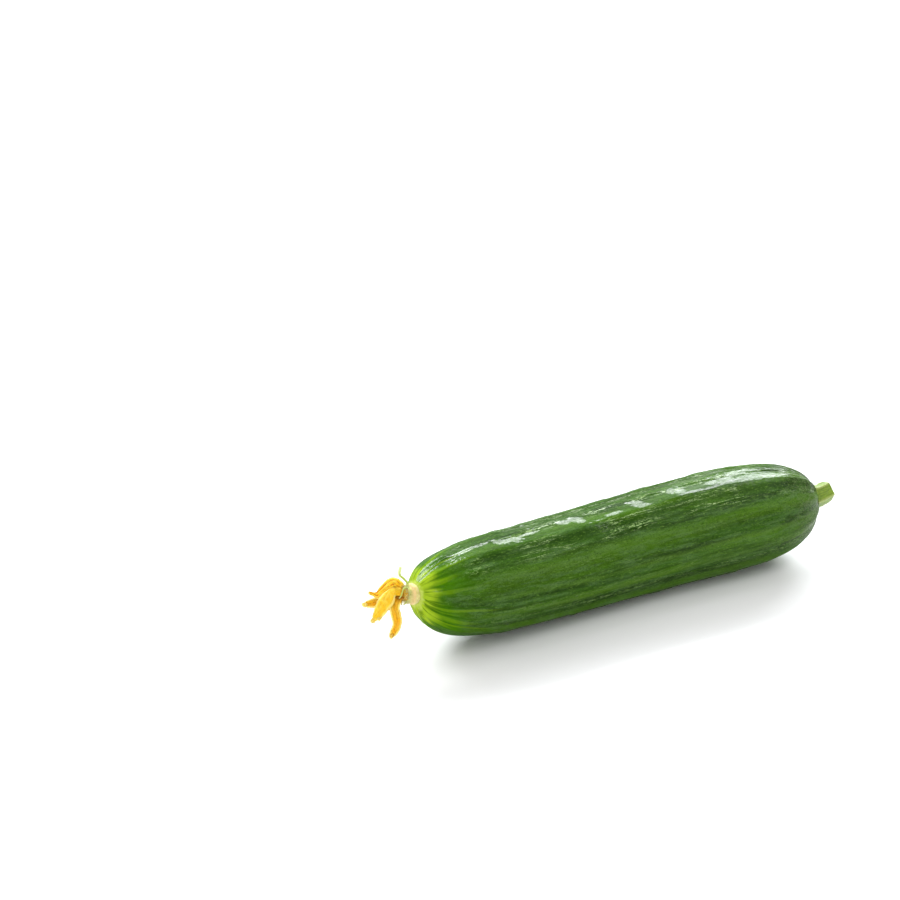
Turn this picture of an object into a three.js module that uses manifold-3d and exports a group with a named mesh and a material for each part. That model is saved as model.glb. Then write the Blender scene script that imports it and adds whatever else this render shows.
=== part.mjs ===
// A Lebanese cucumber, picked whole and lying on its side: the ribbed green fruit, the stub of its cut
// stalk at one end, and the pale calyx with the withered flower at the other.
// Millimetres, +Z up, +X along the fruit from the flower to the stalk. The origin is on the surface that
// the fruit lies on, under the middle of the whole.
import * as THREE from "three";
import { mergeVertices } from "three/addons/utils/BufferGeometryUtils.js";
import Module from "manifold-3d";

const wasm = await Module();
wasm.setup();

const radians = THREE.MathUtils.degToRad;

// Fruit: its length, its radius halfway along, and how much the radius grows from the flower end to the
// stalk end, as a share of that radius
const FRUIT_LENGTH = 150;
const MIDDLE_RADIUS = 16.9;
const THICKENING = 0.157;
// The stretch over which each end closes
const FLOWER_END_CLOSING = 50;
const STALK_END_CLOSING = 52;
// The bow of the centre line: how far each end lies to the -Y side, and how far the flower end lifts
const FLOWER_END_BOW = 3;
const STALK_END_BOW = 6.6;
const FLOWER_END_LIFT = 5.4;
// How far each scar sits off the centre line, upwards and to the -Y side
const FLOWER_SCAR_RISE = 5.5;
const FLOWER_SCAR_SIDE = 2.7;
const STALK_SCAR_RISE = 2.4;
const SCAR_SHIFT_POWER = 1.5;
const FLOWER_SCAR_RADIUS = 3.2;
const STALK_SCAR_RADIUS = 4.2;
// The flat that the fruit rests on
const FLAT_DEPTH = 0.5;

// Ribs: strong ones, with a weak one between each two, as shares of the radius. Angles go round the
// centre line from the +Y side over the top.
const STRONG_RIBS = 10;
const STRONG_RIB_HEIGHT = 0.011;
const WEAK_RIB_HEIGHT = 0.006;
const RIB_START = radians(109);
const FRUIT_SIDES = 80;
const FRUIT_RINGS = 54;

// Gap between pieces that touch
const GAP = 0.3;

// Stalk stub: a rounded five-sided bar, which leaves the scar at a right angle and turns upwards
const STALK_LENGTH = 5.8;
const STALK_BASE_RADIUS = 4.3;
const STALK_CUT_RADIUS = 3.65;
const STALK_EDGES = 5;
const STALK_EDGE_START = radians(104);
const STALK_SHARPNESS = 0.75;
const STALK_TURN_UP = 0.2;
const STALK_TURN_SIDE = 0.15;
const STALK_SIDES = 30;
const STALK_RINGS = 9;

// Calyx: a collar with a round mouth that the flower's neck stands in
const COLLAR_LENGTH = 3.2;
const COLLAR_TILT_UP = 0.13;
const COLLAR_TILT_SIDE = 0.06;
const COLLAR_BASE_RADIUS = 3.15;
const COLLAR_SWELL = 0.3;
const COLLAR_RIM_RADIUS = 2.4;
const MOUTH_RADIUS = 1.75;
const MOUTH_DEPTH = 1.6;
const COLLAR_SIDES = 28;
const COLLAR_RINGS = 8;
const SEPAL_SIDES = 6;
const SEPAL_STEPS = 9;

// Corolla: a solid neck in the calyx's mouth, with five withered petals
const NECK_RADIUS = 1.42;
const NECK_TOP_RADIUS = 1.55;
const NECK_HEIGHT = 1;
const NECK_SIDES = 20;
const PETAL_THICKNESS = 0.7;
const PETAL_STEPS = 14;
const PETAL_STRIPS = 6;
const PETAL_RIPPLE = 0.12;
const PETAL_RIPPLES = 5;

// The flower is laid out as seen from its front: right, up, and towards the front, from the middle of the
// calyx's rim
const FRONT_AZIMUTH = radians(-28.4);
const FRONT_ELEVATION = radians(28);

const SKIN_GREEN = 0x3f6120;
const STALK_GREEN = 0x83a13a;
const CALYX_CREAM = 0xd9ca82;
const PETAL_YELLOW = 0xf2b830;

// A closed solid from the three.js geometry that describes it
function solidOf(geometry) {
  const bare = geometry.clone();
  bare.deleteAttribute("normal");
  bare.deleteAttribute("uv");
  const merged = mergeVertices(bare, 1e-4);
  const vertProperties = new Float32Array(merged.attributes.position.array);
  const triVerts = new Uint32Array(merged.index.array);
  return new wasm.Manifold(new wasm.Mesh({ numProp: 3, vertProperties, triVerts }));
}

function geometryOf(solid) {
  const mesh = solid.getMesh();
  const geometry = new THREE.BufferGeometry();
  geometry.setAttribute("position", new THREE.BufferAttribute(mesh.vertProperties, 3));
  geometry.setIndex(new THREE.BufferAttribute(mesh.triVerts, 1));
  geometry.computeVertexNormals();
  return geometry;
}

function geometryFrom(points, faces) {
  const geometry = new THREE.BufferGeometry().setFromPoints(points);
  geometry.setIndex(faces);
  return geometry;
}

// The faces between rings of equally many points, which run right-handed about the way they advance
function wallFaces(rings) {
  const count = rings[0].length;
  const faces = [];
  for (let ring = 0; ring + 1 < rings.length; ring++) {
    for (let step = 0; step < count; step++) {
      const next = (step + 1) % count;
      const here = ring * count;
      const there = here + count;
      faces.push(here + step, here + next, there + next);
      faces.push(here + step, there + next, there + step);
    }
  }
  return faces;
}

// A closed body of rings, each end closed by a fan from the middle of its ring
function loft(rings) {
  const count = rings[0].length;
  const points = rings.flat();
  const faces = wallFaces(rings);
  const ends = [rings[0], rings.at(-1)].map(middleOf);
  const firstMiddle = points.length;
  const lastMiddle = firstMiddle + 1;
  const lastRing = firstMiddle - count;
  for (let step = 0; step < count; step++) {
    const next = (step + 1) % count;
    faces.push(firstMiddle, next, step);
    faces.push(lastMiddle, lastRing + step, lastRing + next);
  }
  return geometryFrom([...points, ...ends], faces);
}

function middleOf(ring) {
  const sum = ring.reduce((total, point) => total.add(point), new THREE.Vector3());
  return sum.divideScalar(ring.length);
}

// The axes of a cross-section: along the way it faces, up as far as that allows, and to the +Y side
function sectionAxes(along) {
  const ahead = along.clone().normalize();
  const up = new THREE.Vector3(0, 0, 1).addScaledVector(ahead, -ahead.z).normalize();
  const side = new THREE.Vector3().crossVectors(up, ahead);
  return { ahead, up, side };
}

function ringPoint(middle, axes, angle, radius) {
  return middle
    .clone()
    .addScaledVector(axes.side, radius * Math.cos(angle))
    .addScaledVector(axes.up, radius * Math.sin(angle));
}

// Fruit

// The radius without the closing of the ends, at a place from 0, the flower end, to 1, the stalk end
function fullRadius(place) {
  return MIDDLE_RADIUS * (1 + THICKENING * (place - 0.5));
}

// How far an end has closed: 0 at its tip and 1 from the end of its closing stretch on
function endShare(distance, closing) {
  const part = Math.min(distance / closing, 1);
  return Math.sqrt(1 - (1 - part) ** 4);
}

function fruitSection(place) {
  const across = 2 * place - 1;
  const flowerHalf = across < 0;
  const bow = flowerHalf ? FLOWER_END_BOW : STALK_END_BOW;
  const lift = flowerHalf ? FLOWER_END_LIFT : 0;
  const share =
    endShare(place * FRUIT_LENGTH, FLOWER_END_CLOSING) *
    endShare((1 - place) * FRUIT_LENGTH, STALK_END_CLOSING);
  const middle = new THREE.Vector3(
    (place - 0.5) * FRUIT_LENGTH,
    -bow * across ** 2,
    fullRadius(place) - FLAT_DEPTH + lift * across ** 2,
  );
  const along = new THREE.Vector3(
    FRUIT_LENGTH,
    -4 * bow * across,
    MIDDLE_RADIUS * THICKENING + 4 * lift * across,
  );
  const axes = sectionAxes(along);
  const shift = (1 - share) ** SCAR_SHIFT_POWER;
  middle.addScaledVector(axes.up, shift * (flowerHalf ? FLOWER_SCAR_RISE : STALK_SCAR_RISE));
  middle.addScaledVector(axes.side, shift * (flowerHalf ? -FLOWER_SCAR_SIDE : 0));
  return { middle, axes, radius: fullRadius(place) * share };
}

// The place where an end has closed to the radius of its scar, as a distance from the tip
function scarDistance(scarRadius, bodyRadius, closing) {
  const share = scarRadius / bodyRadius;
  return closing * (1 - (1 - share ** 2) ** 0.25);
}

function ribShare(angle) {
  const turn = STRONG_RIBS * (angle - RIB_START);
  return 1 + STRONG_RIB_HEIGHT * (Math.cos(turn) - 1) + WEAK_RIB_HEIGHT * (Math.cos(2 * turn) - 1);
}

const flowerScarPlace =
  scarDistance(FLOWER_SCAR_RADIUS, fullRadius(0), FLOWER_END_CLOSING) / FRUIT_LENGTH;
const stalkScarPlace =
  1 - scarDistance(STALK_SCAR_RADIUS, fullRadius(1), STALK_END_CLOSING) / FRUIT_LENGTH;

function fruitGeometry() {
  const rings = [];
  for (let ring = 0; ring < FRUIT_RINGS; ring++) {
    const spread = (1 - Math.cos((Math.PI * ring) / (FRUIT_RINGS - 1))) / 2;
    const section = fruitSection(THREE.MathUtils.lerp(flowerScarPlace, stalkScarPlace, spread));
    const points = [];
    for (let step = 0; step < FRUIT_SIDES; step++) {
      const angle = RIB_START + (2 * Math.PI * step) / FRUIT_SIDES;
      points.push(ringPoint(section.middle, section.axes, angle, section.radius * ribShare(angle)));
    }
    rings.push(points);
  }
  const underside = new THREE.BoxGeometry(2 * FRUIT_LENGTH, FRUIT_LENGTH, MIDDLE_RADIUS);
  underside.translate(0, 0, -MIDDLE_RADIUS / 2);
  return geometryOf(solidOf(loft(rings)).subtract(solidOf(underside)));
}

// Stalk stub

// The radius of a rounded polygon, from a circle at sharpness 0 to straight sides at 1
function polygonShare(angle, edges, start, sharpness) {
  const half = Math.PI / edges;
  const turn = THREE.MathUtils.euclideanModulo(angle - start, 2 * half) - half;
  return 1 - sharpness + (sharpness * Math.cos(half)) / Math.cos(turn);
}

function stalkGeometry() {
  const scar = fruitSection(stalkScarPlace);
  const start = scar.middle.clone().addScaledVector(scar.axes.ahead, GAP);
  const rings = [];
  for (let ring = 0; ring < STALK_RINGS; ring++) {
    const part = ring / (STALK_RINGS - 1);
    const turn = part ** 1.5;
    const middle = start
      .clone()
      .addScaledVector(scar.axes.ahead, part * STALK_LENGTH)
      .addScaledVector(scar.axes.up, turn * STALK_TURN_UP * STALK_LENGTH)
      .addScaledVector(scar.axes.side, turn * STALK_TURN_SIDE * STALK_LENGTH);
    const along = scar.axes.ahead
      .clone()
      .addScaledVector(scar.axes.up, part * STALK_TURN_UP)
      .addScaledVector(scar.axes.side, part * STALK_TURN_SIDE);
    const axes = sectionAxes(along);
    const radius = THREE.MathUtils.lerp(STALK_BASE_RADIUS, STALK_CUT_RADIUS, Math.sqrt(part));
    const points = [];
    for (let step = 0; step < STALK_SIDES; step++) {
      const angle = STALK_EDGE_START + (2 * Math.PI * step) / STALK_SIDES;
      const shape = polygonShare(angle, STALK_EDGES, STALK_EDGE_START, STALK_SHARPNESS);
      points.push(ringPoint(middle, axes, angle, radius * shape));
    }
    rings.push(points);
  }
  return loft(rings);
}

// Calyx and corolla

const flowerScar = fruitSection(flowerScarPlace);
const collarWay = flowerScar.axes.ahead
  .clone()
  .negate()
  .addScaledVector(flowerScar.axes.up, COLLAR_TILT_UP)
  .addScaledVector(flowerScar.axes.side, COLLAR_TILT_SIDE)
  .normalize();

// The collar's cross-section at a height above the scar: it turns from the scar's plane to square with the
// way that the collar points
function collarSection(height) {
  const part = THREE.MathUtils.clamp(height / COLLAR_LENGTH, 0, 1);
  const along = flowerScar.axes.ahead.clone().negate().lerp(collarWay, part);
  const middle = flowerScar.middle
    .clone()
    .addScaledVector(flowerScar.axes.ahead, -GAP)
    .addScaledVector(along, height);
  return { middle, axes: sectionAxes(along) };
}

const rimMiddle = collarSection(COLLAR_LENGTH).middle;

function collarRing(height, radius, sides) {
  const section = collarSection(height);
  const points = [];
  for (let step = 0; step < sides; step++) {
    points.push(ringPoint(section.middle, section.axes, (2 * Math.PI * step) / sides, radius));
  }
  return points;
}

// The collar's outer radius: it swells just above the scar and narrows to the rim
function collarRadius(part) {
  const straight = THREE.MathUtils.lerp(COLLAR_BASE_RADIUS, COLLAR_RIM_RADIUS, part ** 1.4);
  return straight + COLLAR_SWELL * Math.sin(Math.PI * Math.min(part * 1.6, 1));
}

const frontRight = new THREE.Vector3(Math.cos(FRONT_AZIMUTH), Math.sin(FRONT_AZIMUTH), 0);
const front = new THREE.Vector3(
  Math.sin(FRONT_AZIMUTH) * Math.cos(FRONT_ELEVATION),
  -Math.cos(FRONT_AZIMUTH) * Math.cos(FRONT_ELEVATION),
  Math.sin(FRONT_ELEVATION),
);
const frontUp = new THREE.Vector3().crossVectors(front, frontRight);

function flowerWay([right, up, ahead]) {
  return new THREE.Vector3()
    .addScaledVector(frontRight, right)
    .addScaledVector(frontUp, up)
    .addScaledVector(front, ahead);
}

function flowerPoint(place) {
  return rimMiddle.clone().add(flowerWay(place));
}

// The sepals as seen from the front: the points they pass, and the radius at the root and the tip
const SEPALS = [
  {
    path: [[0.6, 2, -0.3], [0.6, 3.4, -0.4], [-0.5, 4.7, 0], [-1.7, 6, 0.9], [-1.4, 8.4, 1]],
    tip: 0.52,
  },
  {
    path: [[1, 1.7, 0.6], [-0.3, 1.9, 1.9], [-0.8, 0.7, 2.8], [-1.2, -0.4, 3], [-1.8, -1.2, 3.2]],
    tip: 0.32,
  },
  { path: [[0.75, -1.9, 0.3], [0.2, -2.7, 0.7], [-0.5, -3.3, 0.7]], tip: 0.32 },
  { path: [[-0.4, -1.3, -1.6], [-1.1, -2.4, -2.4], [-1.2, -3.6, -3]], tip: 0.32 },
  { path: [[-0.4, 1.2, -1.6], [-1.1, 2.1, -2.5], [-1.8, 2.6, -3.6]], tip: 0.32 },
];
const SEPAL_ROOT_RADIUS = 0.45;

function sepalGeometry(sepal) {
  const curve = new THREE.CatmullRomCurve3(sepal.path.map(flowerPoint));
  const rings = [];
  let side = flowerWay([0.3, 0.2, 1]);
  for (let step = 0; step <= SEPAL_STEPS; step++) {
    const part = step / SEPAL_STEPS;
    const middle = curve.getPoint(part);
    const ahead = curve.getTangent(part);
    const up = new THREE.Vector3().crossVectors(ahead, side).normalize();
    side = new THREE.Vector3().crossVectors(up, ahead).normalize();
    const radius = THREE.MathUtils.lerp(SEPAL_ROOT_RADIUS, sepal.tip, part);
    const points = [];
    for (let turn = 0; turn < SEPAL_SIDES; turn++) {
      const angle = (2 * Math.PI * turn) / SEPAL_SIDES;
      points.push(ringPoint(middle, { side, up }, angle, radius));
    }
    rings.push(points);
  }
  return loft(rings);
}

function calyxGeometry() {
  const rings = [];
  for (let ring = 0; ring < COLLAR_RINGS; ring++) {
    const part = ring / (COLLAR_RINGS - 1);
    rings.push(collarRing(part * COLLAR_LENGTH, collarRadius(part), COLLAR_SIDES));
  }
  rings.push(collarRing(COLLAR_LENGTH, MOUTH_RADIUS, COLLAR_SIDES));
  rings.push(collarRing(COLLAR_LENGTH - MOUTH_DEPTH, MOUTH_RADIUS, COLLAR_SIDES));
  let solid = solidOf(loft(rings));
  for (const sepal of SEPALS) {
    solid = solid.add(solidOf(sepalGeometry(sepal)));
  }
  return geometryOf(solid);
}

// The petals as seen from the front: the points along the middle, the half width at each, the way that the
// outer face looks at the root and at the tip, how far the edges roll, in radians, towards that face where
// it is below 0, and the radius of the shrivelled knob at the tip, if it has one
const PETALS = [
  {
    path: [[-0.7, 0.6, 0.3], [-1.9, 2.9, 1], [-3.8, 3.8, 1.7], [-6.1, 2.2, 2], [-8.2, 0.2, 1.8],
      [-9.7, 0.2, 1.5], [-11.1, 0.7, 1.3]],
    halfWidth: [1, 1.4, 1.9, 1.8, 1.3, 0.5, 0.35],
    looks: [[-0.1, 0.5, 0.9], [-0.2, 0.4, 0.9]],
    roll: 0.6,
    knob: 0,
  },
  {
    path: [[-0.5, 0.7, 0.9], [-2.4, 1.1, 2.2], [-4.1, 0.6, 3.2], [-5.4, -1.2, 3.8], [-6.8, -3.3, 4],
      [-8.1, -5.6, 3.4], [-9.7, -7.9, 2.6]],
    halfWidth: [1.1, 1.1, 1.5, 2.1, 2.1, 1.6, 0.7],
    looks: [[0, 0.4, 1], [-0.2, 0.1, 1]],
    roll: 0.4,
    knob: 0.75,
  },
  {
    path: [[-6.2, -3.3, 4], [-7, -5.2, 3.6], [-7.9, -7.3, 3]],
    halfWidth: [0.8, 0.8, 0.55],
    looks: [[0, 0.2, 1], [0.1, 0.1, 1]],
    roll: 0.3,
    knob: 0.6,
  },
  {
    path: [[-0.6, -0.3, 0.3], [-2, -1.2, 0.9], [-3, -3.2, 1.3], [-2.9, -5.5, 0.9], [-2.4, -7.9, 0.1],
      [-2.6, -10, -0.9], [-3.6, -11.8, -1.8], [-4.2, -13, -2.4]],
    halfWidth: [1.1, 1.3, 1.5, 1.45, 1.4, 1.2, 0.95, 0.7],
    looks: [[-0.3, 0.2, 0.9], [0.1, 0, 1]],
    roll: -0.5,
    knob: 0.8,
  },
  {
    path: [[-0.8, 0, -0.1], [-4, -0.3, 0.4], [-7.2, -2, 0.9], [-10, -2.9, 1.3], [-12.2, -3.2, 1.6]],
    halfWidth: [1.1, 1.4, 1.6, 1.35, 0.95],
    looks: [[-0.1, 0.4, 0.9], [0, 0.4, 0.9]],
    roll: -0.5,
    knob: 0.85,
  },
  {
    path: [[-0.7, -0.2, -0.3], [-2.7, -1.2, -1.3], [-4.6, -2.9, -2.2], [-5.9, -4.6, -3]],
    halfWidth: [1.1, 1.5, 1.5, 0.8],
    looks: [[0.2, 0.2, -1], [0.1, 0.2, -1]],
    roll: 0.6,
    knob: 0,
  },
];

// A value between the listed ones, at a part from 0 to 1 of the way along the list
function valueAlong(values, part) {
  const spot = part * (values.length - 1);
  const before = Math.min(Math.floor(spot), values.length - 2);
  return THREE.MathUtils.lerp(values[before], values[before + 1], spot - before);
}

// One thin petal: each cross-section is an arc across the middle line, with an outer and an inner face
function petalGeometry(petal) {
  const curve = new THREE.CatmullRomCurve3(petal.path.map(flowerPoint));
  const looks = petal.looks.map(flowerWay);
  const rings = [];
  for (let step = 0; step <= PETAL_STEPS; step++) {
    const part = step / PETAL_STEPS;
    const middle = curve.getPoint(part);
    const ahead = curve.getTangent(part);
    const outward = looks[0].clone().lerp(looks[1], part);
    const across = new THREE.Vector3().crossVectors(ahead, outward).normalize();
    outward.crossVectors(across, ahead);
    const halfWidth = valueAlong(petal.halfWidth, part);
    const outer = [];
    const inner = [];
    for (let strip = 0; strip <= PETAL_STRIPS; strip++) {
      const spot = (2 * strip) / PETAL_STRIPS - 1;
      const angle = petal.roll * spot;
      const wave = PETAL_RIPPLE * spot ** 2 * Math.sin(2 * Math.PI * PETAL_RIPPLES * part + 2 * spot);
      const sideways = (halfWidth * Math.sin(angle)) / petal.roll;
      const back = (halfWidth * (1 - Math.cos(angle))) / petal.roll - wave;
      const point = middle.clone().addScaledVector(across, sideways).addScaledVector(outward, -back);
      const normal = outward
        .clone()
        .multiplyScalar(Math.cos(angle))
        .addScaledVector(across, Math.sin(angle));
      outer.push(point.clone().addScaledVector(normal, PETAL_THICKNESS / 2));
      inner.unshift(point.clone().addScaledVector(normal, -PETAL_THICKNESS / 2));
    }
    rings.push([...outer, ...inner]);
  }
  return geometryFrom(rings.flat(), [...wallFaces(rings), ...petalEndFaces(rings)]);
}

// The narrow end faces of a petal, as strips between its outer and inner face
function petalEndFaces(rings) {
  const count = rings[0].length;
  const lastRing = count * (rings.length - 1);
  const faces = [];
  for (let strip = 0; strip < PETAL_STRIPS; strip++) {
    const facing = count - 1 - strip;
    faces.push(strip, facing, strip + 1);
    faces.push(strip + 1, facing, facing - 1);
    faces.push(lastRing + strip, lastRing + strip + 1, lastRing + facing);
    faces.push(lastRing + strip + 1, lastRing + facing - 1, lastRing + facing);
  }
  return faces;
}

function corollaGeometry() {
  const neck = [
    collarRing(COLLAR_LENGTH - MOUTH_DEPTH + GAP, NECK_RADIUS, NECK_SIDES),
    collarRing(COLLAR_LENGTH, NECK_RADIUS, NECK_SIDES),
    collarRing(COLLAR_LENGTH + NECK_HEIGHT / 2, NECK_TOP_RADIUS, NECK_SIDES),
    collarRing(COLLAR_LENGTH + NECK_HEIGHT, NECK_RADIUS / 2, NECK_SIDES),
  ];
  let solid = solidOf(loft(neck));
  for (const petal of PETALS) {
    solid = solid.add(solidOf(petalGeometry(petal)));
    if (petal.knob > 0) {
      const tip = flowerPoint(petal.path.at(-1));
      const knob = new THREE.IcosahedronGeometry(petal.knob, 1).translate(tip.x, tip.y, tip.z);
      solid = solid.add(solidOf(knob));
    }
  }
  return geometryOf(solid);
}

function piece(name, geometry, color, roughness) {
  const material = new THREE.MeshStandardMaterial({ color, roughness, metalness: 0 });
  const mesh = new THREE.Mesh(geometry, material);
  mesh.name = name;
  return mesh;
}

const cucumber = new THREE.Group();
cucumber.add(
  piece("fruit", fruitGeometry(), SKIN_GREEN, 0.3),
  piece("stalk", stalkGeometry(), STALK_GREEN, 0.6),
  piece("calyx", calyxGeometry(), CALYX_CREAM, 0.7),
  piece("corolla", corollaGeometry(), PETAL_YELLOW, 0.6),
);
const extent = new THREE.Box3().setFromObject(cucumber);
const extentMiddle = extent.getCenter(new THREE.Vector3());
cucumber.position.set(-extentMiddle.x, -extentMiddle.y, -extent.min.z);

export default cucumber;
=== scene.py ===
import math

import bpy
import numpy as np
from mathutils import Matrix, Vector


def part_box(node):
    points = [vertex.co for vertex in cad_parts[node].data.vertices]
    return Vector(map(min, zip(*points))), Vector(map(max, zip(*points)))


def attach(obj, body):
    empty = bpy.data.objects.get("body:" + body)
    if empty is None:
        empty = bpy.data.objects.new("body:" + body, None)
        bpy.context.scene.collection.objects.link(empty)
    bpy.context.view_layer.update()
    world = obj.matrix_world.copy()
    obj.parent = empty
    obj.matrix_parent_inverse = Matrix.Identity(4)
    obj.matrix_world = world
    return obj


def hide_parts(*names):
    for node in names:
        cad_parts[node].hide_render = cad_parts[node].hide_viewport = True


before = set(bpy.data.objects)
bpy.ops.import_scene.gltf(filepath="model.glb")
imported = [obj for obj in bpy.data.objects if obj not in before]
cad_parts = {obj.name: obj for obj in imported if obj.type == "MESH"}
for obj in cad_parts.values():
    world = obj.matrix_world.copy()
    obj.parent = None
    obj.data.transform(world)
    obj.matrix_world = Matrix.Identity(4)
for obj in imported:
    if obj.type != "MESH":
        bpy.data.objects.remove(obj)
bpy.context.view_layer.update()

# A Lebanese cucumber lying on a pale floor: ribbed, waxy green skin, a stub of cut stalk, and the withered
# flower on its calyx. Shapes are worked out in millimetres, as the solids are, and made in metres.
MM = 0.001

# Fruit, as in the solids
FRUIT_LENGTH = 150
MIDDLE_RADIUS = 16.9
THICKENING = 0.157
FLOWER_END_CLOSING = 50
STALK_END_CLOSING = 52
FLOWER_END_BOW = 3
STALK_END_BOW = 6.6
FLOWER_END_LIFT = 5.4
FLOWER_SCAR_RISE = 5.5
FLOWER_SCAR_SIDE = 2.7
STALK_SCAR_RISE = 2.4
SCAR_SHIFT_POWER = 1.5
FLOWER_SCAR_RADIUS = 3.2
STALK_SCAR_RADIUS = 4.2
FLAT_DEPTH = 0.5
STRONG_RIBS = 10
STRONG_RIB_HEIGHT = 0.011
RIB_START = math.radians(109)
GAP = 0.3

# How flat the skin is between its ribs, where 0 is round
FACET_SHARPNESS = 0.68

# Fineness of the skin's mesh, and how much of its rings' spread is even along the length
SKIN_SIDES = 330
SKIN_RINGS = 290
EVEN_SPREAD = 0.35

# Low relief of the skin, in millimetres
RIB_WANDER = math.radians(2.2)
CREASE_HEIGHT = 0.12
CREASE_SOFTNESS = 0.0012
THREAD_HEIGHT = 0.19
THREAD_WIDTH = 0.38
SECOND_THREAD_OFFSET = 0.9
SECOND_THREAD_SHARE = 0.6
FINE_RIBS = 46
FINE_RIB_HEIGHT = 0.035
STALK_END_FINE_RIBS = 2.2
PEBBLE_HEIGHT = 0.05
UNDULATION_HEIGHT = 0.14
STALK_END_PUCKER = 0.3

# Noise in the relief: length of a cell in millimetres, cells round the fruit, and seed
RELIEF_NOISES = {
    "wander": (26, 5, 11),
    "crease": (18, 20, 17),
    "wiggle": (2.4, 40, 18),
    "slow wiggle": (7, 20, 19),
    "thread breaks": (5, 20, 26),
    "fine wander": (12, 11, 12),
    "fine breaks": (9, 23, 13),
    "pebbles": (2.6, 62, 14),
    "small pebbles": (1.3, 110, 15),
    "swell": (9.5, 14, 16),
}

# Stalk stub
STALK_LENGTH = 5.8
STALK_BASE_RADIUS = 4.3
STALK_CUT_RADIUS = 3.65
STALK_EDGES = 5
STALK_EDGE_START = math.radians(104)
STALK_SHARPNESS = 0.8
STALK_TURN_UP = 0.2
STALK_TURN_SIDE = 0.15

# Calyx
COLLAR_LENGTH = 3.2
COLLAR_TILT_UP = 0.13
COLLAR_TILT_SIDE = 0.06
COLLAR_BASE_RADIUS = 3.15
COLLAR_SWELL = 0.3
COLLAR_RIM_RADIUS = 2.4
MOUTH_RADIUS = 1.75
MOUTH_DEPTH = 1.6

# Corolla
NECK_RADIUS = 1.42
NECK_TOP_RADIUS = 1.85
NECK_HEIGHT = 1
PETAL_THICKNESS = 0.3

# The flower is laid out as seen from its front, and the camera looks from there too
FRONT_AZIMUTH = math.radians(-28.4)
FRONT_ELEVATION = math.radians(28)
CAMERA_DISTANCE = 858
CAMERA_TARGET = (1.6, 112.2, 0)
CAMERA_LENS = 95
CAMERA_SENSOR = 36

# How far the collar and the stalk reach down into the gap above their scars
SEAM_DEPTH = 0.25


# Small helpers for shapes

def unit(vectors):
    return vectors / np.linalg.norm(vectors, axis=-1, keepdims=True)


def smooth(low, high, value):
    """From 0 at low to 1 at high, with soft ends."""
    part = np.clip((value - low) / (high - low), 0, 1)
    return part * part * (3 - 2 * part)


def noise(x, y, seed, period=None):
    """Smooth noise from -1 to 1 with cells one unit across. y comes round again after period cells."""
    rng = np.random.default_rng(seed)
    size_x = int(np.max(x)) + 3
    size_y = period or int(np.max(y)) + 3
    lattice = rng.uniform(-1, 1, (size_x, size_y))
    cell_x = np.floor(x).astype(int)
    cell_y = np.floor(y).astype(int)
    part_x = smooth(0, 1, x - cell_x)
    part_y = smooth(0, 1, y - cell_y)
    next_y = (cell_y + 1) % size_y
    cell_y = cell_y % size_y
    near = lattice[cell_x, cell_y] * (1 - part_y) + lattice[cell_x, next_y] * part_y
    far = lattice[cell_x + 1, cell_y] * (1 - part_y) + lattice[cell_x + 1, next_y] * part_y
    return near * (1 - part_x) + far * part_x


def section_axes(along):
    """Axes of a cross-section: ahead, up as far as that allows, and towards +Y."""
    ahead = unit(np.asarray(along, float))
    up = unit(np.array([0, 0, 1.0]) - ahead * ahead[..., 2:3])
    side = np.cross(up, ahead)
    return ahead, up, side


def curve_points(points, parts):
    """Points of a smooth curve through the listed ones, at parts from 0 to 1."""
    points = np.asarray(points, float)
    ends = [2 * points[0] - points[1], *points, 2 * points[-1] - points[-2]]
    knots = np.array(ends)
    spot = np.clip(parts, 0, 1) * (len(points) - 1)
    first = np.minimum(spot.astype(int), len(points) - 2)
    t = (spot - first)[:, None]
    a, b, c, d = (knots[first + k] for k in range(4))
    return 0.5 * (2 * b + (c - a) * t + (2 * a - 5 * b + 4 * c - d) * t**2 + (3 * b - a - 3 * c + d) * t**3)


def values_along(values, parts):
    return np.interp(parts, np.linspace(0, 1, len(values)), values)


def angles_round(count):
    return np.linspace(0, 2 * math.pi, count, endpoint=False)


def ring(spot, reach, angle, side, up):
    """Points round a spot, at their angle from the side towards up."""
    return spot + np.outer(reach * np.cos(angle), side) + np.outer(reach * np.sin(angle), up)


# Fruit shape

def full_radius(place):
    return MIDDLE_RADIUS * (1 + THICKENING * (place - 0.5))


def end_share(distance, closing):
    part = np.minimum(distance / closing, 1)
    return np.sqrt(1 - (1 - part) ** 4)


def fruit_section(place):
    """Middle, axes and radius of the fruit at places from 0, the flower end, to 1, the stalk end."""
    place = np.atleast_1d(np.asarray(place, float))
    across = 2 * place - 1
    flower_half = across < 0
    bow = np.where(flower_half, FLOWER_END_BOW, STALK_END_BOW)
    lift = np.where(flower_half, FLOWER_END_LIFT, 0)
    share = end_share(place * FRUIT_LENGTH, FLOWER_END_CLOSING)
    share = share * end_share((1 - place) * FRUIT_LENGTH, STALK_END_CLOSING)
    middle = np.stack([
        (place - 0.5) * FRUIT_LENGTH,
        -bow * across**2,
        full_radius(place) - FLAT_DEPTH + lift * across**2,
    ], -1)
    along = np.stack([
        np.full_like(place, FRUIT_LENGTH),
        -4 * bow * across,
        MIDDLE_RADIUS * THICKENING + 4 * lift * across,
    ], -1)
    ahead, up, side = section_axes(along)
    shift = (1 - share) ** SCAR_SHIFT_POWER
    middle = middle + up * (shift * np.where(flower_half, FLOWER_SCAR_RISE, STALK_SCAR_RISE))[:, None]
    middle = middle - side * (shift * np.where(flower_half, FLOWER_SCAR_SIDE, 0))[:, None]
    return middle, ahead, up, side, full_radius(place) * share


def scar_distance(scar_radius, body_radius, closing):
    share = scar_radius / body_radius
    return closing * (1 - (1 - share**2) ** 0.25)


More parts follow.
